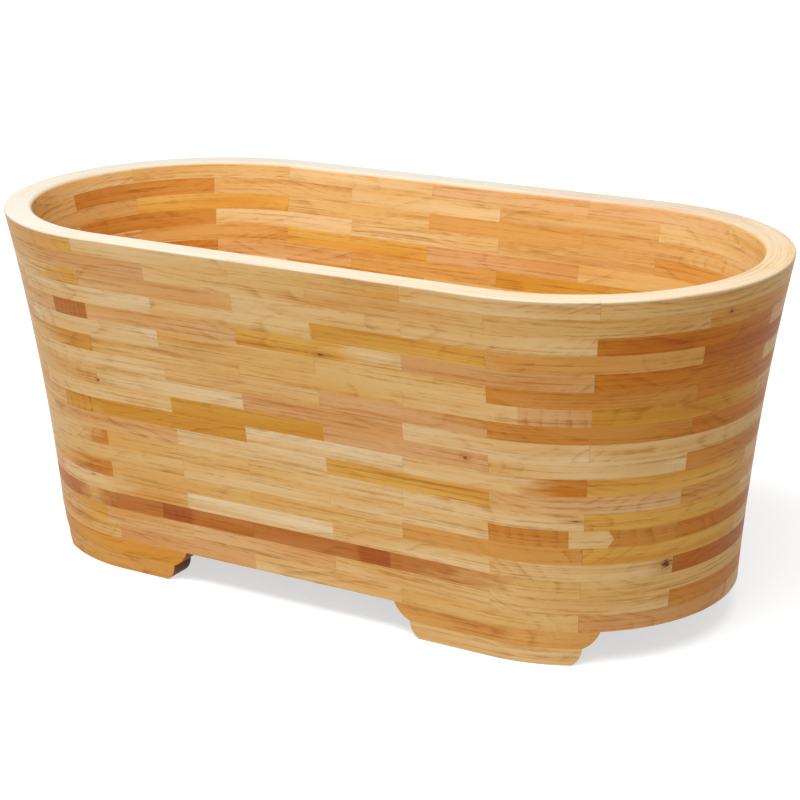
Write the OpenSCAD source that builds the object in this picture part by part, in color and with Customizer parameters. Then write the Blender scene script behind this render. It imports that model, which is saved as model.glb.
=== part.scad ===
// Free-standing wooden soaking tub with straight sides and half-round ends.
// Curved and straight blocks are glued into rings, called courses, and the
// courses are glued on top of each other in running bond. Four feet carry on
// the two lowest layers of the wall. A boarded floor sits in a groove of the
// second course, over three battens, with a waste near the right end.
// Left is -X, right is +X, front is -Y. The origin is on the ground, in the
// middle of the tub.

/* [Tub] */
// Overall length across the rim
tub_length = 1500; // [1300:10:1700]
// Overall width across the rim
tub_width = 736; // [660:2:820]
// Overall height
tub_height = 640.5; // [600:0.5:700]
// Thickness of the wall, measured level
wall = 50; // [40:1:60]
// How far the rim stands out past the foot of the wall, on every side
flare = 77.5; // [40:0.5:100]
// Share of the flare that climbs evenly, the rest curves outward to the rim
even_share = 0.39; // [0.2:0.01:1]

/* [Courses] */
// Number of full courses above the feet
courses = 19; // [17:1:20]
// Blocks around each half-round end
end_blocks = 3; // [3:2:5]
// Blocks along each straight side
side_blocks = 3; // [2:1:5]
// Width of the glue line between the ends of two blocks
glue_line = 0.2; // [0.1:0.05:0.5]
// Length of a straight block at the ground, as a share of an even one
low_share = 0.92; // [0.85:0.01:1]
// Length of a straight block at the rim, as a share of an even one
high_share = 1.04; // [1:0.01:1.1]
// How far the joints near the ends move outward from the ground to the rim
joint_drift = 26; // [0:1:35]
// From the start of the curve to the joint beside it, at the ground
side_joint_shift = -2; // [-10:1:5]
// From an even spacing to the joints in the curve, at the ground
end_joint_shift = -8; // [-12:1:5]
// Rounding of the rim's inner edge
rim_inner_round = 9; // [2:0.5:14]
// Rounding of the rim's outer edge
rim_outer_round = 3; // [1:0.5:8]

/* [Feet] */
// From the tub's middle to the inner end of a foot
foot_inner = 218; // [150:1:300]
// Length of a foot, measured along the line of the rim
foot_length = 417; // [300:1:480]
// How far all four feet stand to the right of the middle
foot_shift = -20; // [-30:1:30]
// How far the ends of the upper foot layer are cut back at its underside
foot_upper_cut = 29; // [10:0.5:34]
// How far the ends of the lower foot layer are cut back at its underside
foot_lower_cut = 17; // [6:0.5:24]
// How far the curved ends of the foot layers stand out from a straight slope
foot_bulge = 4; // [1:0.1:5]
// Height of the square edge left above the curve on the ends of a foot layer
foot_land = 2; // [1:0.5:6]

/* [Floor] */
// Thickness of the floor boards
floor_thick = 24; // [21:0.5:28]
// Number of floor boards, an odd number so that one lies under the waste
floor_boards = 5; // [5:2:7]
// Thickness of the edge left on the floor where it enters the wall
edge_thick = 14; // [8:0.5:18]
// Depth of the groove in the wall
groove_depth = 12; // [6:0.5:20]
// Play of the floor in its groove
floor_play = 0.3; // [0.1:0.1:1]
// Play between neighbouring floor boards
board_play = 0.2; // [0.1:0.1:0.6]
// Reach of the tongue between two floor boards
tongue_reach = 6; // [3:0.5:10]
// Thickness of the tongue between two floor boards
tongue_thick = 7; // [4:0.5:10]

/* [Battens] */
// Width of a batten under the floor
batten_w = 60; // [40:1:80]
// Thickness of a batten
batten_h = 22; // [16:0.5:28]
// Room for a spanner between the waste's locknut and the nearest batten
nut_room = 33; // [20:1:60]
// Diameter of a batten screw's shank
screw_d = 4.5; // [3.5:0.1:5]
// Diameter of a batten screw's head
screw_head_d = 9; // [7:0.1:11]
// Length of a batten screw
screw_length = 36; // [26:1:38]
// Distance between the two screws that hold a board
screw_spacing = 44; // [24:1:60]

/* [Waste] */
// From the tub's end to the centre of the waste
waste_inset = 320; // [260:5:340]
// Diameter of the waste's flange
flange_d = 70; // [66:0.5:80]
// Thickness of the flange
flange_t = 3; // [2:0.5:4]
// Outer diameter of the waste's threaded tube
tube_d = 48; // [46:0.5:52]
// Bore of the threaded tube
tube_bore = 40; // [38:0.5:42]
// How far the threaded tube reaches below the floor
tube_drop = 28; // [26:0.5:32]
// Depth of the sloping seat in the flange
seat_depth = 5; // [4:0.5:6]
// Thickness of the gasket under the flange
top_gasket_t = 1.5; // [1:0.5:2.5]
// Thickness of the gasket under the floor
under_gasket_t = 3; // [2:0.5:4]
// Thickness of the slip washer between the lower gasket and the locknut
slip_washer_t = 1.5; // [1:0.5:2.5]
// Height of the locknut
locknut_h = 11; // [8:0.5:12]
// Width of the locknut across its flats
locknut_w = 64; // [60:0.5:70]
// Play around parts that slide over the threaded tube
tube_play = 0.2; // [0.1:0.05:0.4]
// Play around the threaded tube in the floor
hole_play = 1; // [0.5:0.1:2]
// How far the gaskets stay back from the flange's edge
gasket_margin = 2; // [1:0.5:4]

/* [Tailpiece] */
// Outer diameter of the tailpiece's lower end, 38.1 is the 1 1/2 inch tubular size
spigot_d = 38.1; // [34:0.1:40]
// Height of the shoulder that stops a pipe pushed over the lower end
tail_shoulder = 1; // [0.5:0.1:1.5]
// From the slip nut down to the shoulder
shoulder_drop = 3; // [2:0.5:6]
// Wall of the tailpiece
tail_wall = 1.5; // [1:0.1:2]
// Height of the tailpiece's end above the ground
tail_end_z = 20; // [15:0.5:24]
// Thickness of the collar at the top of the tailpiece
collar_t = 2; // [1.5:0.5:3]
// Thickness of the washer between tube and collar
tail_washer_t = 1.5; // [1:0.5:2]
// Height of the slip nut
slip_nut_h = 13; // [10:0.5:14]
// Width of the slip nut across its flats
slip_nut_w = 58; // [56:0.5:64]
// Thickness of the slip nut's lower lip
slip_nut_lip = 3; // [2:0.5:4]

/* [Plug] */
// Diameter of the plug's cap
cap_d = 62; // [54:0.5:66]
// Thickness of the cap at its edge
cap_t = 2.5; // [2:0.5:4]
// Rise of the cap's dome
cap_dome = 2.5; // [1:0.5:5]
// Gap between the closed cap and the flange
cap_gap = 0.5; // [0.3:0.1:1]
// Thickness of the round sealing ring
seal_d = 5; // [4:0.5:6]
// Gap between the closed sealing ring and its seat
seal_gap = 0.3; // [0.2:0.1:0.6]
// Thickness of the lip that holds the sealing ring
hub_lip = 2.5; // [2:0.5:4]
// Diameter of the fixed post that guides the plug
post_d = 8; // [6:0.5:9]
// Running gap between the post and the plug's sleeve
post_play = 0.3; // [0.2:0.05:0.5]
// Wall of the plug's sleeve
sleeve_wall = 2; // [1.5:0.1:3]
// How far the plug lifts
plug_lift = 9; // [6:0.5:10]
// Length of post still inside the sleeve when the plug is up
post_grip = 5; // [3:0.5:7]
// Diameter of the post's head
post_head_d = 13; // [11:0.5:14]
// Height of the post's head
post_head_h = 4; // [3:0.5:5]
// Width of the arms across the threaded tube
arm_w = 4; // [3:0.5:6]
// Height of the arms across the threaded tube
arm_h = 6; // [4:0.5:8]
// Diameter of the boss where the arms meet
boss_d = 16; // [15:0.5:20]
// Height of the post's head above the end of the threaded tube
arm_rise = 8; // [6:0.5:9]
// Gap between the arms and the plug's sleeve
sleeve_clear = 4; // [2:0.5:5]
// How far the hub's lip stands out under the sealing ring
lip_reach = 1.5; // [1:0.1:2]

/* [Hidden] */
$fn = 120;
// the feet are two layers high
foot_layers = 2;
// facets of a rounded rim edge
round_steps = 8;
// facets of the sphere behind the plug's dome
dome_facets = 360;
// cutters reach this far past what they cut
past = 1;
wood_tan = [0.80, 0.60, 0.37];
wood_pale = [0.86, 0.69, 0.47];
wood_red = [0.70, 0.43, 0.25];
wood_gold = [0.78, 0.54, 0.25];
wood_floor = [0.82, 0.62, 0.38];

course_h = tub_height / (courses + foot_layers);
rim_r = tub_width / 2;
// centre of the half-round ends
end_x = tub_length / 2 - rim_r;
block_angle = 180 / end_blocks;
side_pitch = (2 * end_x + rim_r * block_angle / 2 * PI / 180) / side_blocks;
// joints closer than this to the start of the curve lie on it
joint_snap = 3;
half_glue = glue_line / 2;

// floor, from the groove up
groove_layer = foot_layers + 1;
floor_z = groove_layer * course_h;
floor_top = floor_z + floor_thick;
edge_r = inner_r(floor_z) + groove_depth - floor_play;
shoulder_r = inner_r(floor_z) - floor_play;
board_pitch = 2 * edge_r / floor_boards;
tongue_z = floor_z + (floor_thick - tongue_thick) / 2;

// waste, from the floor down
waste_x = tub_length / 2 - waste_inset;
batten_pitch = waste_x - locknut_w / cos(30) / 2 - nut_room - batten_w / 2;
flange_z = floor_top - flange_t;
recess_z = flange_z - top_gasket_t;
recess_d = flange_d + 2 * hole_play;
locknut_top = floor_z - under_gasket_t - slip_washer_t;
tube_end = floor_z - tube_drop;
collar_top = tube_end - tail_washer_t;
collar_z = collar_top - collar_t;
slip_nut_z = collar_z - slip_nut_lip;
shoulder_z = slip_nut_z - shoulder_drop;
tail_d = spigot_d + 2 * tail_shoulder;
tail_bore = tail_d - 2 * tail_wall;
spigot_bore = spigot_d - 2 * tail_wall;
collar_d = tube_d - 2 * tube_play;
gasket_d = flange_d - 2 * gasket_margin;

// plug, closed
cap_z = floor_top + cap_gap;
seal_z = cap_z - seal_d / 2;
seat_r = tube_bore / 2 - (floor_top - seat_depth);
seal_r = seal_z + seat_r - (seal_d / 2 + seal_gap) * sqrt(2);
hub_r = seal_r - seal_d / 2;
hub_z = cap_z - seal_d - hub_lip;
hub_lip_r = hub_r + lip_reach;
sleeve_d = post_d + 2 * post_play + 2 * sleeve_wall;
sleeve_top = cap_z - cap_t;
arm_top = tube_end + arm_rise + post_head_h + arm_h;
sleeve_z = arm_top + sleeve_clear;
post_top = sleeve_z + plug_lift + post_grip;

// Node names
function two_digits(n) = str(n < 10 ? "0" : "", n);
function course_name(n) = n == courses ? "rim_course" : str("course_", two_digits(n));
function board_name(n) = str("floor_board_", n);
function foot_name(fore, side, layer) = str(
    "foot_", fore < 0 ? "front" : "back", side < 0 ? "_left" : "_right",
    layer == 0 ? "_lower" : "_upper");
BATTENS = ["batten_left", "batten_middle", "batten_right"];

// Outer and inner radius of the half-round ends at height z. The straight
// sides lie at the same distance from the middle line.
function outer_r(z) = let (s = z / tub_height)
    rim_r - flare * (1 - even_share * s - (1 - even_share) * s * s);
function inner_r(z) = outer_r(z) - wall;

// Section of one layer of the wall: x is the distance from the middle line
function plain_section(z0, z1) = [
    [inner_r(z0), z0], [outer_r(z0), z0], [outer_r(z1), z1], [inner_r(z1), z1]];

// The groove is a rebate along the lower inner edge, closed by the course below
function groove_section(z0, z1) = let (zg = z0 + edge_thick + floor_play) [
    [inner_r(z0) + groove_depth, z0], [outer_r(z0), z0], [outer_r(z1), z1],
    [inner_r(z1), z1], [inner_r(zg), zg], [inner_r(z0) + groove_depth, zg]];

// Points of a round edge from angle a0 to a1
function round_edge(c, r, a0, a1) = [for (n = [0 : round_steps])
    let (a = a0 + (a1 - a0) * n / round_steps) [c.x + r * cos(a), c.y + r * sin(a)]];

function rim_section(z0, z1) = let (
    lean = atan((outer_r(z1) - outer_r(z0)) / (z1 - z0)),
    ro = rim_outer_round,
    ri = rim_inner_round,
    co = [outer_r(z1) - ro * (1 + sin(lean)) * tan(lean) - ro * cos(lean), z1 - ro],
    ci = [inner_r(z1) - ri * (1 - sin(lean)) * tan(lean) + ri * cos(lean), z1 - ri])
    concat([[inner_r(z0), z0], [outer_r(z0), z0]],
        round_edge(co, ro, -lean, 90), round_edge(ci, ri, 90, 180 - lean));

module layer_section(layer) {
    z0 = layer * course_h;
    z1 = z0 + course_h;
    top_layer = courses + foot_layers - 1;
    polygon(layer == top_layer ? rim_section(z0, z1)
        : layer == groove_layer ? groove_section(z0, z1) : plain_section(z0, z1));
}

// Stretch of the front wall from x0 to x1
module straight_run(layer, x0, x1) {
    translate([x0, 0, 0])
        rotate([90, 0, 90])
            linear_extrude(x1 - x0)
                mirror([1, 0])
                    layer_section(layer);
}

// Stretch of the right end between two angles, counted from the front
module arc_run(layer, a0, a1) {
    translate([end_x, 0, 0])
        rotate([0, 0, a0 - 90])
            rotate_extrude(angle = a1 - a0)
                layer_section(layer);
}

// A place along the wall is a station, measured along the line of the rim from
// the middle of the front. The blocks get longer with the courses as they rise,
// so the joints of every second course drift outward.
function station(angle) = end_x + rim_r * angle * PI / 180;
function angle_at(place) = (place - end_x) / rim_r * 180 / PI;
function rise(layer) = (layer + 0.5) / (courses + foot_layers);
function side_joint(layer, n) = let (
    first = side_joint_shift + joint_drift * rise(layer),
    pitch = side_pitch * (low_share + (high_share - low_share) * rise(layer)))
    end_x + (abs(first) < joint_snap ? 0 : first) - n * pitch;
function end_joint(layer, n) =
    station(n * block_angle) + end_joint_shift + joint_drift * rise(layer);

// Joints of a course's front, from the middle of its left end to its right end
function front_joints(layer) = let (n_end = (end_blocks - 1) / 2) concat(
    [-station(90)],
    [for (n = [n_end : -1 : 1]) -end_joint(layer, n - 0.5)],
    [for (n = [side_blocks - 1 : -1 : 0]) side_joint(layer, n)],
    [for (n = [1 : n_end]) end_joint(layer, n)]);

// Half a glue line at a joint, as wide at the inner face as on a straight side
function half_gap(layer, place) =
    half_glue * (abs(place) > end_x ? rim_r / inner_r(layer * course_h) : 1);

// One block of the front wall between two joints. Its straight part starts and
// ends on whole hundredths, so that it meets its curved part exactly.
function hundredths(x) = round(x * 100) / 100;
module block(layer, joint_0, joint_1) {
    s0 = hundredths(joint_0 + half_gap(layer, joint_0));
    s1 = hundredths(joint_1 - half_gap(layer, joint_1));
    if (s0 < -end_x)
        mirror([1, 0, 0])
            arc_run(layer, max(0, angle_at(-s1)), angle_at(-s0));
    if (s1 > -end_x && s0 < end_x)
        straight_run(layer, max(s0, -end_x), min(s1, end_x));
    if (s1 > end_x)
        arc_run(layer, max(0, angle_at(s0)), angle_at(s1));
}

module course_blocks(layer) {
    joints = front_joints(layer);
    last = joints[len(joints) - 1];
    end_angle = angle_at(last + half_gap(layer, last));
    arc_run(layer, end_angle, 180 - end_angle);
    for (fore = [0, 1], n = [0 : len(joints) - 2])
        mirror([0, fore, 0])
            block(layer, joints[n], joints[n + 1]);
}

module course(n) {
    tones = [wood_tan, wood_pale, wood_tan, wood_gold];
    color(n == 3 ? wood_red : tones[n % len(tones)])
        mirror([n % 2, 0, 0])
            course_blocks(n + foot_layers - 1);
}

// Shallow curve cut from a lower corner at the origin, with the wood on its +X side,
// w wide and h high. Its round wood surface passes through both ends of the cut.
module corner_cut(w, h) {
    reach = rim_r + past;
    slope = norm([w, h]);
    r = (slope * slope / 4 + foot_bulge * foot_bulge) / (2 * foot_bulge);
    inward = (r - foot_bulge) / slope;
    difference() {
        translate([-past, -reach, -past])
            cube([w + past, reach, h + past]);
        translate([w / 2 + h * inward, past, h / 2 + w * inward])
            rotate([90, 0, 0])
                cylinder(h = reach + 2 * past, r = r);
    }
}

// One layer of a foot. side -1 is left, fore -1 is front.
module foot(fore, side, layer) {
    z0 = layer * course_h;
    set_back = layer == 0 ? foot_upper_cut : 0;
    cut_w = layer == 0 ? foot_lower_cut : foot_upper_cut;
    cut_h = course_h - foot_land;
    x0 = foot_inner + side * foot_shift;
    to_angle = 180 / PI;
    a1 = (x0 + foot_length - end_x) / rim_r * to_angle - set_back / outer_r(z0) * to_angle;
    color(layer == 0 ? wood_pale : wood_gold)
        mirror([side < 0 ? 1 : 0, 0, 0])
            mirror([0, fore > 0 ? 1 : 0, 0])
                difference() {
                    union() {
                        straight_run(layer, x0 + set_back, end_x);
                        arc_run(layer, 0, a1);
                    }
                    translate([x0 + set_back, 0, z0])
                        corner_cut(cut_w, cut_h);
                    translate([end_x, 0, z0])
                        rotate([0, 0, a1])
                            mirror([1, 0, 0])
                                corner_cut(cut_w, cut_h);
                }
}

// Outline of the floor, with half-round ends of radius r
module floor_outline(r) {
    square([2 * end_x, 2 * r], center = true);
    for (side = [-1, 1])
        translate([side * end_x, 0])
            circle(r);
}

module floor_blank() {
    translate([0, 0, floor_z])
        linear_extrude(edge_thick)
            floor_outline(edge_r);
    translate([0, 0, floor_z])
        linear_extrude(floor_thick)
            floor_outline(shoulder_r);
}

module floor_board(n) {
    y0 = -edge_r + (n - 1) * board_pitch;
    reach = end_x + edge_r + past;
    last = n == floor_boards;
    first = n == 1;
    middle = (floor_boards + 1) / 2;
    y_from = first ? y0 - past : y0 + board_play / 2;
    y_to = last ? y0 + board_pitch + past : y0 + board_pitch - board_play / 2;
    color(wood_floor)
        difference() {
            intersection() {
                floor_blank();
                union() {
                    translate([-reach, y_from, floor_z - past])
                        cube([2 * reach, y_to - y_from, floor_thick + 2 * past]);
                    if (!last)
                        translate([-reach, y_to - past, tongue_z])
                            cube([2 * reach, tongue_reach + past, tongue_thick]);
                }
            }
            if (!first)
                translate([-reach, y0 - past, tongue_z - board_play])
                    cube([2 * reach, tongue_reach + past + board_play,
                        tongue_thick + 2 * board_play]);
            if (n == middle)
                translate([waste_x, 0, 0]) {
                    translate([0, 0, floor_z - past])
                        cylinder(h = floor_thick + 2 * past, d = tube_d + 2 * hole_play);
                    translate([0, 0, recess_z])
                        cylinder(h = floor_thick, d = recess_d);
                }
            for (b = [-1 : 1])
                board_screws(b, n)
                    cylinder(h = screw_length, d = screw_d);
        }
}

// Puts its child at both screws that hold board n to batten b
module board_screws(b, n) {
    y = -edge_r + (n - 0.5) * board_pitch;
    for (s = [-0.5, 0.5])
        translate([b * batten_pitch, y + s * screw_spacing, floor_z - batten_h])
            children();
}

module batten(b) {
    z = floor_z - batten_h;
    length = 2 * (inner_r(z) - floor_play);
    color(wood_pale)
        difference() {
            translate([b * batten_pitch - batten_w / 2, -length / 2, z])
                cube([batten_w, length, batten_h]);
            for (n = [1 : floor_boards])
                board_screws(b, n)
                    batten_screw();
        }
}

// Countersunk screw with its head at the origin, pointing up
module batten_screw() {
    head_h = (screw_head_d - screw_d) / 2;
    cylinder(h = head_h, d1 = screw_head_d, d2 = screw_d);
    cylinder(h = screw_length, d = screw_d);
}

module batten_screws() {
    color("silver")
        for (b = [-1 : 1], n = [1 : floor_boards])
            board_screws(b, n)
                batten_screw();
}

// Ring from z0 to z1, standing on the waste's axis
module waste_ring(z0, z1, outer_d, bore_d) {
    translate([waste_x, 0, 0])
        difference() {
            translate([0, 0, z0])
                cylinder(h = z1 - z0, d = outer_d);
            translate([0, 0, z0 - past])
                cylinder(h = z1 - z0 + 2 * past, d = bore_d);
        }
}

module waste_flange() {
    color("gainsboro")
        translate([waste_x, 0, 0]) {
            difference() {
                union() {
                    translate([0, 0, flange_z])
                        cylinder(h = flange_t, d = flange_d);
                    translate([0, 0, tube_end])
                        cylinder(h = floor_top - tube_end - past, d = tube_d);
                }
                translate([0, 0, tube_end - past])
                    cylinder(h = floor_top - tube_end + 2 * past, d = tube_bore);
                translate([0, 0, floor_top - seat_depth])
                    cylinder(h = seat_depth + past, d1 = tube_bore,
                        d2 = tube_bore + 2 * (seat_depth + past));
            }
            difference() {
                translate([0, 0, arm_top - arm_h])
                    union() {
                        cylinder(h = arm_h, d = boss_d);
                        for (a = [0, 90])
                            rotate([0, 0, a])
                                translate([-tube_bore / 2 - past, -arm_w / 2, 0])
                                    cube([tube_bore + 2 * past, arm_w, arm_h]);
                    }
                translate([0, 0, arm_top - arm_h - past])
                    cylinder(h = arm_h + 2 * past, d = post_d);
            }
        }
}

module top_gasket() {
    color("dimgray")
        waste_ring(recess_z, flange_z, gasket_d, tube_d + 2 * tube_play);
}

module under_gasket() {
    color("dimgray")
        waste_ring(floor_z - under_gasket_t, floor_z, gasket_d, tube_d + 2 * tube_play);
}

module slip_washer() {
    color("ivory")
        waste_ring(locknut_top, floor_z - under_gasket_t, gasket_d, tube_d + 2 * tube_play);
}

// Six-sided body of a nut, w across its flats
module hex_body(w, h) {
    cylinder(h = h, d = w / cos(30), $fn = 6);
}

module locknut() {
    color("goldenrod")
        translate([waste_x, 0, locknut_top - locknut_h])
            difference() {
                hex_body(locknut_w, locknut_h);
                translate([0, 0, -past])
                    cylinder(h = locknut_h + 2 * past, d = tube_d + 2 * tube_play);
            }
}

module tail_washer() {
    color("dimgray")
        waste_ring(collar_top, tube_end, collar_d, tail_bore);
}

module tailpiece() {
    color("gainsboro")
        translate([waste_x, 0, 0])
            difference() {
                union() {
                    translate([0, 0, tail_end_z])
                        cylinder(h = collar_top - tail_end_z, d = spigot_d);
                    translate([0, 0, shoulder_z])
                        cylinder(h = collar_top - shoulder_z, d = tail_d);
                    translate([0, 0, collar_z])
                        cylinder(h = collar_t, d = collar_d);
                }
                translate([0, 0, tail_end_z - past])
                    cylinder(h = collar_top - tail_end_z + 2 * past, d = spigot_bore);
                translate([0, 0, shoulder_z + tail_wall])
                    cylinder(h = collar_top - shoulder_z, d = tail_bore);
            }
}

module slip_nut() {
    color("goldenrod")
        translate([waste_x, 0, slip_nut_z])
            difference() {
                hex_body(slip_nut_w, slip_nut_h);
                translate([0, 0, slip_nut_lip])
                    cylinder(h = slip_nut_h, d = tube_d + 2 * tube_play);
                translate([0, 0, -past])
                    cylinder(h = slip_nut_lip + 2 * past, d = tail_d + 2 * tube_play);
            }
}

// Post that the plug slides on, held in the boss by the head below it
module plug_post() {
    color("silver")
        translate([waste_x, 0, arm_top - arm_h - post_head_h]) {
            cylinder(h = post_head_h, d = post_head_d);
            cylinder(h = post_top - arm_top + arm_h + post_head_h, d = post_d);
        }
}

module plug_cap() {
    cap_r = cap_d / 2;
    dome_r = (cap_r * cap_r + cap_dome * cap_dome) / (2 * cap_dome);
    color("gainsboro")
        translate([waste_x, 0, 0])
            difference() {
                union() {
                    translate([0, 0, cap_z])
                        cylinder(h = cap_t, d = cap_d);
                    intersection() {
                        translate([0, 0, cap_z + cap_t / 2])
                            cylinder(h = cap_t + cap_dome, d = cap_d);
                        translate([0, 0, cap_z + cap_t + cap_dome - dome_r])
                            sphere(dome_r, $fn = dome_facets);
                    }
                    translate([0, 0, hub_z])
                        cylinder(h = cap_z - hub_z + past, r = hub_r);
                    translate([0, 0, hub_z])
                        cylinder(h = hub_lip, r = hub_lip_r);
                }
                translate([0, 0, hub_z - past])
                    cylinder(h = sleeve_top - hub_z + past, d = sleeve_d);
            }
}

module plug_seal() {
    color("dimgray")
        translate([waste_x, 0, seal_z])
            rotate_extrude()
                translate([seal_r, 0])
                    circle(d = seal_d);
}

module plug_sleeve() {
    color("ivory")
        waste_ring(sleeve_z, sleeve_top, sleeve_d, post_d + 2 * post_play);
}

for (n = [1 : courses])
    course(n);
for (fore = [-1, 1], side = [-1, 1], layer = [0, 1])
    foot(fore, side, layer);
for (n = [1 : floor_boards])
    floor_board(n);
for (b = [-1 : 1])
    batten(b);
batten_screws();
waste_flange();
top_gasket();
under_gasket();
slip_washer();
locknut();
tail_washer();
tailpiece();
slip_nut();
plug_post();
plug_cap();
plug_seal();
plug_sleeve();
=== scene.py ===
import math
import random
from collections import namedtuple

import bpy
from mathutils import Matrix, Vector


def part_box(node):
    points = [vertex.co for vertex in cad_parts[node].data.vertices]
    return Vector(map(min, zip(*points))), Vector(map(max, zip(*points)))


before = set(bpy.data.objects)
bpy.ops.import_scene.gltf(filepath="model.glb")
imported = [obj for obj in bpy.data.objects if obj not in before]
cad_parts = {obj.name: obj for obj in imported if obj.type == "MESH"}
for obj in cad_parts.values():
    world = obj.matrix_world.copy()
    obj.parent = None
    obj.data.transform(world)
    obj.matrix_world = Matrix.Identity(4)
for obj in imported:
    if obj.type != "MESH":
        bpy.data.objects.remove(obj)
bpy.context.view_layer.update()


# ---------------------------------------------------------------- wall courses
# The wall is eighteen rings of rubberwood blocks under a rim ring. Each ring has
# eleven blocks: planks along the sides, and planks sawn to a curve round the ends.
# The rings are glued up in running bond, then planed, sanded flush and oiled.

COURSES = [f"course_{n:02d}" for n in range(1, 19)] + ["rim_course"]
COURSE_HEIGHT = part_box("course_01")[1].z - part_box("course_01")[0].z
BLOCKS = 11

# At the rim the wall's outside is two half rounds about the end centres, joined by
# straight sides. It draws in by the flare down to the ground: that share of the flare
# goes evenly with the height, and the rest with its square.
RIM_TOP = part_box("rim_course")[1].z
RIM_RADIUS = 0.368
END_CENTRE = 0.382
FLARE = 0.0775
EVEN_SHARE = 0.39

TONES = {
    "honey": (0.625, 0.365, 0.120),
    "tan": (0.612, 0.346, 0.116),
    "pale": (0.650, 0.405, 0.162),
    "cream": (0.668, 0.458, 0.228),
    "gold": (0.612, 0.314, 0.058),
    "ochre": (0.545, 0.258, 0.036),
    "blush": (0.615, 0.340, 0.130),
    "rose": (0.590, 0.302, 0.112),
    "orange": (0.575, 0.275, 0.064),
    "amber": (0.520, 0.208, 0.034),
    "copper": (0.495, 0.172, 0.018),
    "russet": (0.420, 0.122, 0.012),
    "rust": (0.435, 0.158, 0.034),
    "red": (0.345, 0.094, 0.018),
}
USUAL_TONES = ["honey", "tan", "honey", "tan", "pale", "pale", "blush"]
TONE_SEED = 700

# Blocks that stand out, by ring from the ground up. Blocks 0 to 4 run along the front,
# from the end that has a joint in its middle. Block 5 goes round the middle of the
# other end, and 6 to 10 are the back, in the order of the front.
# The amber of block 6 in rings 14, 16 and 18 is painted shade, meant for the inside of the
# left end.
MARKED_BLOCKS = {
    1: {3: "rose", 2: "pale", 0: "rose"},
    2: {3: "pale", 4: "pale", 5: "amber"},
    3: {4: "rust", 3: "rust", 2: "rust"},
    4: {2: "cream", 5: "russet"},
    5: {1: "orange", 0: "gold"},
    6: {5: "copper"},
    7: {0: "gold"},
    8: {2: "cream", 3: "gold", 5: "orange"},
    9: {3: "ochre", 2: "cream", 0: "gold"},
    10: {2: "ochre", 3: "rose", 5: "amber"},
    11: {3: "cream", 2: "rose", 1: "cream"},
    12: {3: "rose", 4: "amber", 5: "copper"},
    13: {0: "ochre", 9: "ochre"},
    14: {1: "cream", 4: "amber", 5: "copper", 6: "amber", 8: "orange", 9: "ochre"},
    15: {2: "gold", 1: "rose", 0: "copper", 8: "rose", 9: "gold", 10: "orange"},
    16: {
        1: "cream", 3: "gold", 4: "orange", 5: "russet", 6: "amber", 8: "pale",
        10: "orange",
    },
    17: {2: "pale", 0: "copper", 8: "orange", 10: "gold"},
    18: {1: "blush", 5: "orange", 6: "amber"},
}

# Stretches of other wood on the front's outside, between two places along the line of
# the rim, in metres from its middle. The tone sets in and fades over those lengths. A
# pointed stretch ends sooner by that much of the height off its middle. Band is the
# width of the growth rings on a piece that was sawn across its grain.
Stretch = namedtuple(
    "Stretch", "start end tone sets_in fades pointed band", defaults=(0.001, 0.001, 0.0, 0.0)
)
STRETCHES = {
    2: [Stretch(-0.560, -0.418, "gold", sets_in=0.12)],
    3: [
        Stretch(-0.515, -0.405, "tan", sets_in=0.05, fades=0.06),
        Stretch(-0.282, -0.205, "red", fades=0.02, band=0.018),
        Stretch(0.125, 0.195, "red", sets_in=0.012),
        Stretch(0.217, 0.440, "rust", fades=0.14),
    ],
    4: [Stretch(-0.420, -0.222, "orange", sets_in=0.10)],
    5: [Stretch(-0.560, -0.388, "amber", sets_in=0.14)],
    6: [
        Stretch(0.386, 0.769, "amber", band=0.031),
        Stretch(0.547, 0.636, "pale", pointed=0.80),
    ],
    7: [Stretch(-0.480, -0.390, "copper", sets_in=0.09)],
    9: [
        Stretch(-0.510, -0.390, "ochre", sets_in=0.004, band=0.022),
        Stretch(0.440, 0.580, "copper", sets_in=0.09),
    ],
    13: [
        Stretch(-0.545, -0.395, "ochre", sets_in=0.10),
        Stretch(0.454, 0.585, "rose", sets_in=0.003, band=0.024),
    ],
    15: [
        Stretch(-0.486, -0.395, "rust", band=0.014),
        Stretch(0.120, 0.247, "pale", sets_in=0.06),
    ],
    16: [Stretch(0.079, 0.330, "ochre", fades=0.25)],
    17: [Stretch(-0.540, -0.400, "gold", sets_in=0.12)],
    18: [Stretch(-0.520, -0.254, "rose", sets_in=0.20)],
    19: [Stretch(-0.580, -0.404, "gold", sets_in=0.16)],
}
RAGGED_FROM = 0.05  # a tone that sets in or fades over more than this has a ragged edge

# Knots on the front's outside: the place along the line of the rim, the height above
# the ground, half the knot's own height, and how many times longer it is than high
Knot = namedtuple("Knot", "station height size length")
KNOTS = {
    4: [Knot(0.751, 0.1715, 0.0100, 1.5), Knot(-0.450, 0.178, 0.0012, 6.0)],
    7: [Knot(0.560, 0.262, 0.0016, 9.0)],
    10: [Knot(0.352, 0.354, 0.0030, 1.8)],
    11: [Knot(-0.394, 0.372, 0.0028, 1.3)],
    15: [Knot(0.092, 0.494, 0.0030, 3.0)],
    18: [Knot(0.826, 0.600, 0.0040, 1.3)],
}

# How many of each feature there are to the metre: along the grain, into the block, up
SWAYS = (3.6, 13.0, 13.0)
STREAKS = (1.9, 30.0, 80.0)
PATCHES = (3.4, 26.0, 26.0)
VEINS = (3.4, 200.0, 200.0)
FIBRES = (4.5, 300.0, 300.0)
MOTTLES = (42.0, 150.0, 150.0)
PORES = (60.0, 1300.0, 1300.0)
CRACKS = (260.0, 420.0, 420.0)

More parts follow.
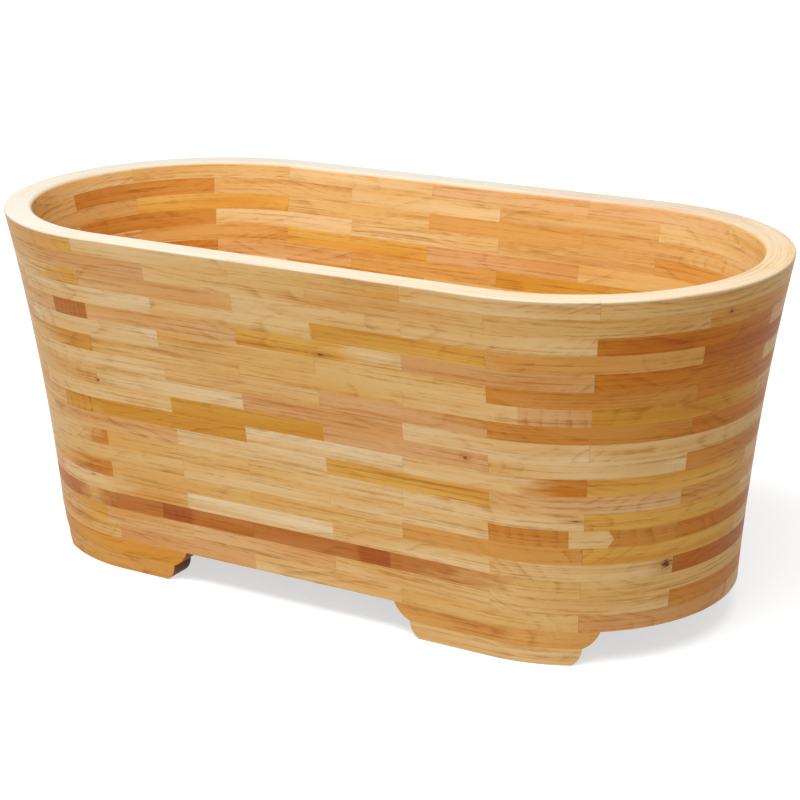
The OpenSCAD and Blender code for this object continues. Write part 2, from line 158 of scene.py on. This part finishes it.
# What they do to the tone of the wood, as factors of its red, green and blue
DARK_GRAIN = (0.81, 0.64, 0.44)
DULL_FIBRE = (0.73, 0.62, 0.46)
WARM_FLUSH = (0.95, 0.79, 0.53)
PALE_FLUSH = (1.055, 1.15, 1.42)
# painted shade: dims the rim's top where it is least rubbed, under the bright softbox
DIMMED_RIM_TOP = (0.93, 0.95, 0.98)

# What is there in a colour of its own
KNOT_HALO = (0.36, 0.13, 0.028)
KNOT_HEART = (0.125, 0.038, 0.012)
# partly the colour of wood rubbed pale, partly a painted highlight on the rim's top
RUBBED_AND_HIGHLIT = (0.534, 0.498, 0.418)

RING_WIDTH = 0.0060
PITH_DEPTHS, PITH_HEIGHTS = 0.09, 0.24  # the range, in metres, of where the pith lies
DEPTH_SLOPES, HEIGHT_SLOPES = 0.14, 0.16  # and of how much askew it is
SEED_STEP = 9  # metres of noise from one block's wood to the next


class Wire:
    """An output of a shader node. Sums with it add Math nodes to its material."""

    def __init__(self, finish, socket):
        self.finish = finish
        self.socket = socket

    def math(self, operation, *others):
        values = dict(enumerate((self,) + others))
        return self.finish.node("Math", {"operation": operation}, values)

    def swapped(self, operation, other):
        return self.finish.node("Math", {"operation": operation}, {0: other, 1: self})

    def limited(self):
        return self.math("MAXIMUM", 0.0).math("MINIMUM", 1.0)

    def __add__(self, other):
        return self.math("ADD", other)

    def __sub__(self, other):
        return self.math("SUBTRACT", other)

    def __mul__(self, other):
        return self.math("MULTIPLY", other)

    def __truediv__(self, other):
        return self.math("DIVIDE", other)

    def __pow__(self, other):
        return self.math("POWER", other)

    def __gt__(self, other):
        return self.math("GREATER_THAN", other)

    def __lt__(self, other):
        return self.math("LESS_THAN", other)

    def __radd__(self, other):
        return self.swapped("ADD", other)

    def __rsub__(self, other):
        return self.swapped("SUBTRACT", other)

    def __rmul__(self, other):
        return self.swapped("MULTIPLY", other)

    def __abs__(self):
        return self.math("ABSOLUTE")


class Finish:
    """A material, or the world's, and the one way in which nodes are added to it."""

    def __init__(self, name, library=bpy.data.materials, shader="Principled BSDF"):
        self.material = library.new(name)
        self.material.use_nodes = True
        self.tree = self.material.node_tree
        self.shader = self.tree.nodes[shader]

    def node(self, kind, settings, values, output=0):
        """A new node of that type. Its settings are made before its sockets are fed."""
        new = self.tree.nodes.new("ShaderNode" + kind)
        for key, value in settings.items():
            if key == "steps":
                self.set_steps(new.color_ramp, value)
            else:
                setattr(new, key, value)
        for key, value in values.items():
            self.feed(new.inputs[key], value)
        return Wire(self, new.outputs[output])

    def set_steps(self, ramp, steps):
        ramp.interpolation = "CONSTANT"
        while len(ramp.elements) < len(steps):
            ramp.elements.new(1.0)
        for element, (position, colour) in zip(ramp.elements, steps):
            element.position = position
            element.color = (*colour, 1.0)

    def feed(self, socket, value):
        if isinstance(value, Wire):
            self.tree.links.new(value.socket, socket)
        elif socket.type == "RGBA":
            socket.default_value = (*value, 1.0)
        else:
            socket.default_value = value

    def split(self, kind, whole):
        """The three numbers that a place or a colour is made of."""
        parts = self.node(kind, {}, {0: whole}).socket.node.outputs
        return [Wire(self, parts[n]) for n in range(3)]

    def place(self):
        """The point's x, y and z in the tub's frame."""
        return self.split("SeparateXYZ", self.node("TexCoord", {}, {}, "Object"))

    def vector(self, x, y, z):
        return self.node("CombineXYZ", {}, {0: x, 1: y, 2: z})

    def vector_math(self, operation, values, output=0):
        return self.node("VectorMath", {"operation": operation}, values, output)

    def chance(self, seed):
        """Three numbers from 0 to 1 for each value of the seed."""
        values = {"W": seed}
        colour = self.node("TexWhiteNoise", {"noise_dimensions": "1D"}, values, "Color")
        return self.split("SeparateColor", colour)

    def stretched_noise(self, place, stretch, detail=2.0):
        """Noise about 0, with that many grains to the metre along each axis."""
        scaled = self.vector_math("MULTIPLY", {0: place, 1: stretch})
        values = {"Vector": scaled, "Scale": 1.0, "Detail": detail}
        return self.node("TexNoise", {}, values, "Fac") - 0.5

    def blend(self, share, first, second, kind="MIX"):
        settings = {"data_type": "RGBA", "blend_type": kind}
        return self.node("Mix", settings, {0: share, 6: first, 7: second}, 2)

    def tinted(self, colour, factors):
        return self.blend(1.0, colour, factors, "MULTIPLY")

    def set(self, **values):
        """Feeds the sockets of the material's own shader."""
        for key, value in values.items():
            self.feed(self.shader.inputs[key.replace("_", " ")], value)

    def dress(self, *pieces):
        for piece in pieces:
            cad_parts[piece].material_slots[0].material = self.material


def late_wood(finish, along, depth, height, place, chance, bands, knots):
    """The dark part of the growth rings round a pith, which is off to one side of the
    block and slightly askew to it. The rings swerve where a knot is near, and each
    year's has its own strength."""
    red, green, blue = chance
    sway = finish.stretched_noise(place, SWAYS, 1.5)
    pith_in = (green - 0.5) * PITH_DEPTHS
    pith_up = (blue - 0.5) * PITH_HEIGHTS
    across = depth + pith_in + along * (red - 0.5) * DEPTH_SLOPES + sway * 0.024
    up = height + pith_up + along * (green - 0.5) * HEIGHT_SLOPES + sway * 0.020
    radius = (across * across + up * up).math("SQRT")
    count = radius / RING_WIDTH + sway * 2.4
    if knots:
        count = count + knots[0] * 2.2
    phase = count.math("FRACT")
    season = finish.chance(count.math("FLOOR") + red * 31)[0]
    late = (phase ** 3).math("MINIMUM", (1 - phase) * 5) * (season * 0.8 + 0.2)
    if bands:
        sawn, count = bands
        phase = count.math("FRACT")
        season = finish.chance(count.math("FLOOR"))[1]
        band = (phase * 2.2 - 0.9).math("MINIMUM", (1 - phase) * 9).limited()
        late = late * (1 - sawn) + sawn * (band * (season * 0.5 + 0.3))
    return late


def add_wood(finish, along, depth, height, chance, tone,
             curve=None, bands=None, knots=None, normal=None, wear_and_painted_light=None):
    """Sanded, oiled wood: growth rings, fibres and pores along the grain, and slow
    changes of tone in each block.
    curve is the way along and into a bent piece, which its fibres are drawn along.
    bands is a pair, where the piece is sawn across its grain and the count of its rings.
    knots is a pair, how near a knot is and how far inside its dark heart.
    The function given for rubbing and painted light takes the colour and the height of the
    fibres, and gives the colour with them: the rim's pale top with its painted highlight,
    and end grain darkened by oil and by painted shade."""
    starts = [number * SEED_STEP for number in chance]
    place = finish.vector(along + starts[0], depth + starts[1], height + starts[2])
    bent = place
    if curve:
        bent = finish.vector(curve[0] + starts[0], curve[1] + starts[1], height + starts[2])

    late = late_wood(finish, along, depth, height, place, chance, bands, knots)
    fibre = finish.stretched_noise(bent, FIBRES, 3.0)
    streak = finish.stretched_noise(place, STREAKS)
    vein = ((finish.stretched_noise(bent, VEINS) - 0.06) * 10).limited()
    patch = finish.stretched_noise(place, PATCHES, 1.5)
    pores = finish.stretched_noise(bent, PORES, 1.0) > 0.13
    mottle = finish.stretched_noise(bent, MOTTLES)

    shade = late * 0.75 + vein * 0.1 + streak * 2.6 - 0.14
    colour = finish.blend(shade, tone, finish.tinted(tone, DARK_GRAIN))
    grain = late * 0.75 + vein * 0.15 + fibre * 4.2 + mottle * 1.4 + pores * 0.32 - 0.15
    colour = finish.blend(grain, colour, finish.tinted(colour, DULL_FIBRE))
    side = height * (chance[2] - 0.5) * 50
    warm = (patch * 3.2 + side).limited()
    colour = finish.blend(warm, colour, finish.tinted(colour, WARM_FLUSH))
    pale = (patch * -3.2 - streak * 1.5 - side).limited()
    colour = finish.blend(pale, colour, finish.tinted(colour, PALE_FLUSH))
    if knots:
        near, heart = knots
        colour = finish.blend(near * 0.6, colour, KNOT_HALO)
        cracked = heart + finish.stretched_noise(bent, CRACKS) * 4 - 0.2
        colour = finish.blend(cracked.limited(), colour, KNOT_HEART)
    # Rubbing and painted light: the rim's painted highlight, and painted shade on end grain
    if wear_and_painted_light:
        colour = wear_and_painted_light(colour, fibre + vein * 0.2)

    relief = fibre * 0.5 - pores * 0.35 - late * 0.2 - vein * 0.2
    bump = {"Height": relief, "Strength": 0.25, "Distance": 0.0005}
    if normal:
        bump["Normal"] = normal
    finish.set(
        Base_Color=colour,
        Roughness=0.46 + fibre * 0.16 + pores * 0.12 - late * 0.05,
        Normal=finish.node("Bump", {}, bump),
        IOR=1.36,
        Specular_IOR_Level=0.19,
    )


def way_round(x, y):
    """How far a point is past the start of a round end, how far along the line of the
    rim from its middle, and how far from the line between the end centres."""
    beyond = (abs(x) - END_CENTRE).math("MAXIMUM", 0.0)
    turn = beyond.math("ARCTAN2", abs(y))
    station = x.math("SIGN") * (abs(x).math("MINIMUM", END_CENTRE) + turn * RIM_RADIUS)
    radial = (beyond * beyond + y * y).math("SQRT")
    return beyond, station, radial


def bowed(depth, radial):
    """The depth that a curved block's growth rings go by: partly across its chord and
    partly across its curve, so that they leave its face at a slant."""
    return depth * 0.45 + radial * 0.55


def smooth_wall_normal(finish, x, y, z, beyond):
    """The wall's true direction, so that the flats of the round ends don't show. Faces
    that look another way keep their own."""
    side = finish.vector(x.math("SIGN") * beyond, y, 0.0)
    flat = finish.vector_math("NORMALIZE", {0: side})
    rise = z / RIM_TOP
    lean = (rise * (2 * (1 - EVEN_SHARE)) + EVEN_SHARE) * (-FLARE / RIM_TOP)
    tilted = finish.vector_math("ADD", {0: flat, 1: finish.vector(0.0, 0.0, lean)})
    outward = finish.vector_math("NORMALIZE", {0: tilted})
    face = finish.node("NewGeometry", {}, {}, "True Normal")
    facing = finish.vector_math("DOT_PRODUCT", {0: outward, 1: face}, 1)
    turned = finish.vector_math("SCALE", {0: outward, "Scale": facing.math("SIGN")})
    is_wall = abs(facing) > 0.985
    return finish.node("Mix", {"data_type": "VECTOR"}, {0: is_wall, 4: face, 5: turned}, 1)


def front_joints(ring):
    """Where the front blocks of a ring meet, along the line of the rim from its middle.
    The blocks were cut a little longer for each ring that is higher up."""
    rise = (ring + 1.5) / (len(COURSES) + 2)
    drift = 0.026 * rise
    pitch = 0.3189 * (0.92 + 0.12 * rise)
    thirty = END_CENTRE + RIM_RADIUS * math.pi / 6
    sixty = END_CENTRE + RIM_RADIUS * math.pi / 3
    last = END_CENTRE + drift - 0.002
    side = [last - n * pitch for n in (2, 1, 0)]
    return [0.008 - drift - thirty] + side + [sixty - 0.008 + drift]


def grain_direction(x, y, block, is_end, is_back):
    """How far a point is along the grain of its own block, and into it. The grain of a
    curved block runs as its chord, which is turned from the tub's length by 60 degrees
    in the first block, 33 in the fifth and 90 in the one at the other end's middle."""
    straight = (block > 0.5) * (block < 3.5)
    reach = (abs(x) - END_CENTRE) + straight * (x - abs(x) + END_CENTRE)
    first_turn = (block < 0.5) * math.radians(60)
    turned = first_turn + (block > 3.5) * math.radians(33) + is_end * math.radians(57)
    near = y * (is_back * 2 - 1)
    cos, sin = turned.math("COSINE"), turned.math("SINE")
    return reach * cos - near * sin, reach * sin + near * cos


def with_stretches(finish, ring, tone, station, height, outside):
    """The tone with a ring's stretches of other wood in it, and where and how often
    those that were sawn across the grain are banded."""
    bands = None
    for stretch in STRETCHES.get(ring, []):
        cut = abs(height) * stretch.pointed
        begun = ((station - stretch.start) / stretch.sets_in).limited()
        left = ((stretch.end - station - cut) / stretch.fades).limited()
        inside = begun * left * outside
        spot = finish.vector(station, height, float(ring))
        if max(stretch.sets_in, stretch.fades) > RAGGED_FROM:
            ragged = inside + finish.stretched_noise(spot, (16.0, 90.0, 1.0)) * 1.8
            inside = ragged.limited() * inside.math("CEIL")
        tone = finish.blend(inside, tone, TONES[stretch.tone])
        if stretch.band:
            wander = finish.stretched_noise(spot, (9.0, 14.0, 1.0)) * 0.04
            bands = (inside, (station + height * 0.15 + wander) / stretch.band)
        elif bands:
            bands = (bands[0] * (1 - inside), bands[1])
    return tone, bands


def ring_knots(ring, station, z, outside):
    """How near one of a ring's knots is, and how far inside its heart, if it has any."""
    knots = None
    for knot in KNOTS.get(ring, []):
        off_side, off_up = (station - knot.station) / knot.length, z - knot.height
        off = (off_side * off_side + off_up * off_up).math("SQRT") + (1 - outside)
        near = (off * off / -(knot.size * knot.size * 4.0)).math("EXPONENT")
        heart = (1 - off / knot.size) * 1.8
        if knots:
            near, heart = knots[0] + near, knots[1].math("MAXIMUM", heart)
        knots = (near, heart)
    return knots


def rim_wear_and_highlight(finish, x, y, z):
    """The rim's top is paler: partly wood rubbed pale by hands, partly a painted highlight,
    which is strongest on its left, as if lit from that side. Where it is least rubbed, the
    top is dimmed a little, as painted shade against the softbox's glare.
    """
    def wear_and_painted_light(colour, fibre):
        top = ((z - (RIM_TOP - 0.006)) / 0.005).limited()
        uneven = finish.stretched_noise(finish.vector(x, y, z), (1.8, 5.0, 1.0), 1.0)
        # painted highlight: the rim's top is lighter on its left, as if lit from that side
        lit_on_left = ((0.42 - x) * 1.5).limited()
        bare_and_lit = (0.50 + uneven * 0.9 + lit_on_left * 0.5 - fibre * 0.8).limited()
        # the pale top is partly rubbing and partly painted highlight; the rest of the top is
        # dimmed a little as painted shade
        worn_and_lit = finish.blend(bare_and_lit, finish.tinted(colour, DIMMED_RIM_TOP), RUBBED_AND_HIGHLIT)
        return finish.blend(top, colour, worn_and_lit)

    return wear_and_painted_light


def course_finish(ring):
    """The wood of one ring. Its blocks are told apart by their place round the wall,
    and each ring is the mirror image of the one below."""
    finish = Finish(f"oiled_rubberwood_ring_{ring:02d}")
    seeded = random.Random(TONE_SEED + ring)
    flip = -1.0 if ring % 2 else 1.0
    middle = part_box(COURSES[ring - 1])[0].z + COURSE_HEIGHT / 2

    world_x, y, z = finish.place()
    x = world_x * flip
    beyond, station, radial = way_round(x, y)
    block = 0.0
    for joint in front_joints(ring):
        block = block + (station > joint)
    is_end = block > 4.5
    is_back = (y > 0.0) * (1 - is_end)
    block_id = block + is_back * 6
    along, depth = grain_direction(x, y, block, is_end, is_back)

    marks = MARKED_BLOCKS.get(ring, {})
    tones = [TONES[marks.get(n, seeded.choice(USUAL_TONES))] for n in range(BLOCKS)]
    steps = [(n / BLOCKS, tone) for n, tone in enumerate(tones)]
    tone = finish.node("ValToRGB", {"steps": steps}, {0: (block_id + 0.5) / BLOCKS})
    chance = finish.chance(block_id * 1.37 + ring * 17.1)

    rise = z / RIM_TOP
    outer = rise * (rise * (1 - EVEN_SHARE) + EVEN_SHARE) * FLARE + (RIM_RADIUS - FLARE)
    outside = (y < 0.0) * (radial > outer - 0.015)
    world_station = station * flip
    height = z - middle
    tone, bands = with_stretches(finish, ring, tone, world_station, height, outside)
    add_wood(
        finish, along, bowed(depth, radial), height, chance, tone,
        curve=(station, radial),
        bands=bands,
        knots=ring_knots(ring, world_station, z, outside),
        normal=smooth_wall_normal(finish, world_x, y, z, beyond),
        wear_and_painted_light=rim_wear_and_highlight(finish, world_x, y, z) if ring == len(COURSES) else None,
    )
    return finish


for ring, course in enumerate(COURSES, start=1):
    course_finish(ring).dress(course)


# ------------------------------------------------------------------------ feet
# Four feet carry the wall's two lowest layers down to the ground. Each layer is a
# plank sawn to the wall's curve, with its ends rounded underneath.

FOOT_TONES = {
    "front_left_upper": "gold", "front_left_lower": "orange",
    "front_right_upper": "orange", "front_right_lower": "pale",
    "back_left_upper": "honey", "back_left_lower": "tan",
    "back_right_upper": "rose", "back_right_lower": "honey",
}
FOOT_SEED = 40.3
# End grain is darkened partly by the oil it drinks and partly as painted shade.
END_GRAIN_OIL_AND_SHADE = (0.42, 0.27, 0.22)  # factors of the tone


def plank_finish(name, tone, grain_axis, seed, bent=False):
    """Wood of a plank whose grain runs along X or along Y, or of one that was sawn to
    the wall's curve. Its end grain is darker, partly from the oil it has drunk and partly
    as painted shade."""
    finish = Finish(name)
    x, y, z = finish.place()
    along, depth = (x, y) if grain_axis == "x" else (y, x)
    curve = None
    if bent:
        curve = way_round(x, y)[1:]
        depth = bowed(abs(y), curve[1])
    face = finish.node("NewGeometry", {}, {}, "True Normal")
    axis = (1.0, 0.0, 0.0) if grain_axis == "x" else (0.0, 1.0, 0.0)
    across = abs(finish.vector_math("DOT_PRODUCT", {0: face, 1: axis}, 1))
    end_grain = ((across - 0.60) * 5).limited()

    # End grain darker: partly oil, partly painted shade on the end faces
    def soaked_and_shaded(colour, fibre):
        soak_and_shade = (end_grain + fibre * end_grain).limited()
        return finish.blend(soak_and_shade, colour, finish.tinted(colour, END_GRAIN_OIL_AND_SHADE))

    chance = finish.chance(seed)
    add_wood(finish, along, depth, z, chance, TONES[tone], curve, wear_and_painted_light=soaked_and_shaded)
    return finish


for n, (foot, tone) in enumerate(FOOT_TONES.items()):
    wood = plank_finish("oiled_rubberwood_foot_" + foot, tone, "x", FOOT_SEED + n, bent=True)
    wood.dress("foot_" + foot)


# ----------------------------------------------------------------------- floor
# Five tongued and grooved boards lie along the tub. Their edges are thinned where
# they enter the groove in the wall, and three battens are screwed on below.

BOARD_TONES = ["tan", "honey", "pale", "tan", "orange"]
BOARD_SEED = 60.7
BATTEN_SEED = 80.1

for n, tone in enumerate(BOARD_TONES, start=1):
    wood = plank_finish(f"oiled_rubberwood_board_{n}", tone, "x", BOARD_SEED + n)
    wood.dress(f"floor_board_{n}")

for n, batten in enumerate(["batten_left", "batten_middle", "batten_right"]):
    plank_finish("planed_rubberwood_" + batten, "pale", "y", BATTEN_SEED + n).dress(batten)


# ----------------------------------------------------------------------- waste
# A plated waste passes through the middle board between two rubber gaskets and is
# drawn tight by a brass nut. A tailpiece hangs below it in a brass slip nut.


def metal_finish(name, colour, roughness, scratches):
    """Metal with fine turning marks and a slightly uneven shine."""
    finish = Finish(name)
    place = finish.node("TexCoord", {}, {}, "Object")
    cloud = finish.stretched_noise(place, (45.0, 45.0, 45.0), 3.0)
    lines = finish.stretched_noise(place, (250.0, 250.0, 4200.0))
    bump = {"Height": lines, "Strength": scratches, "Distance": 0.0002}
    finish.set(
        Base_Color=finish.blend(0.5 + cloud * 0.8, colour, tuple(c * 0.88 for c in colour)),
        Metallic=1.0,
        Roughness=roughness + cloud * 0.10 + lines * scratches,
        Normal=finish.node("Bump", {}, bump),
    )
    return finish


def moulded_finish(name, colour, roughness):
    """Rubber or plastic with a fine moulded grain."""
    finish = Finish(name)
    place = finish.node("TexCoord", {}, {}, "Object")
    grain = finish.stretched_noise(place, (900.0, 900.0, 900.0))
    cloud = finish.stretched_noise(place, (60.0, 60.0, 60.0))
    bump = {"Height": grain, "Strength": 0.2, "Distance": 0.0002}
    finish.set(
        Base_Color=finish.blend(0.5 + cloud * 0.7, colour, tuple(c * 0.8 for c in colour)),
        Roughness=roughness + grain * 0.1,
        Normal=finish.node("Bump", {}, bump),
    )
    return finish


chrome = metal_finish("bright_plating", (0.80, 0.81, 0.82), 0.10, 0.05)
chrome.dress("waste_flange", "tailpiece", "plug_cap")
steel = metal_finish("plain_steel", (0.58, 0.58, 0.57), 0.30, 0.15)
steel.dress("batten_screws", "plug_post")
brass = metal_finish("turned_brass", (0.69, 0.47, 0.19), 0.28, 0.2)
brass.dress("locknut", "slip_nut")
rubber = moulded_finish("black_rubber", (0.028, 0.027, 0.026), 0.65)
rubber.dress("top_gasket", "under_gasket", "tail_washer", "plug_seal")
nylon = moulded_finish("white_nylon", (0.74, 0.72, 0.67), 0.42)
nylon.dress("slip_washer", "plug_sleeve")


# ------------------------------------------------------- floor, light and view
# The tub stands on a wide white paper floor that runs into a white surround. A large
# soft light hangs high above its front, and the surround fills the shadows.

FLOOR_SIZE = 60.0
FLOOR_DROP = 0.0005
PAPER_GREY = 0.41
GLOW_NEAR, GLOW_RISE, MORE_GLOW = 0.62, 0.12, 0.24  # its own white, more so further off
FILL_LIGHT = 0.48


def seen_directly(finish):
    """1 where a thing is looked at or mirrored, 0 where it only lights other things."""
    kinds = ["Is Camera Ray", "Is Glossy Ray", "Is Transmission Ray"]
    return sum(finish.node("LightPath", {}, {}, kind) for kind in kinds).limited()


bpy.ops.object.select_all(action="DESELECT")
bpy.ops.mesh.primitive_plane_add(size=FLOOR_SIZE, location=(0.0, 0.0, -FLOOR_DROP))
ground = bpy.context.object
ground.name = "studio_floor"
paper = Finish("white_paper")
away_x, away_y, _ = paper.place()
away = (away_x * away_x + away_y * away_y).math("SQRT")
glow = ((away - 1.0) * GLOW_RISE).limited().math("MINIMUM", MORE_GLOW) + GLOW_NEAR
seen_glow = seen_directly(paper) * glow
paper.set(
    Base_Color=(PAPER_GREY, PAPER_GREY, PAPER_GREY),
    Roughness=0.9,
    Emission_Color=paper.vector(seen_glow, seen_glow, seen_glow),
    Emission_Strength=1.0,
)
ground.data.materials.append(paper.material)

surround = Finish("white_surround", bpy.data.worlds, "Background")
surround.set(
    Color=(1.0, 1.0, 1.0),
    Strength=seen_directly(surround) * (1.0 - FILL_LIGHT) + FILL_LIGHT,
)
bpy.context.scene.world = surround.material

bpy.ops.object.light_add(type="AREA", location=(0.0, -2.15, 4.45))
softbox = bpy.context.object
softbox.name = "softbox"
softbox.data.shape = "RECTANGLE"
softbox.data.size = 5.2
softbox.data.size_y = 1.8
softbox.data.energy = 350.0
softbox.rotation_euler = (math.radians(28), 0.0, math.radians(4))

# The view of the photograph: 31 degrees round to the right and 18 degrees down
bpy.ops.object.camera_add(location=(1.9034, -3.1023, 1.4946))
camera = bpy.context.object
camera.name = "photo_view"
camera.rotation_euler = (math.radians(71.876), math.radians(0.615), math.radians(30.830))
camera.data.sensor_width = 36.0
camera.data.lens = 94.8
bpy.context.scene.camera = camera
bpy.context.scene.view_settings.view_transform = "Standard"
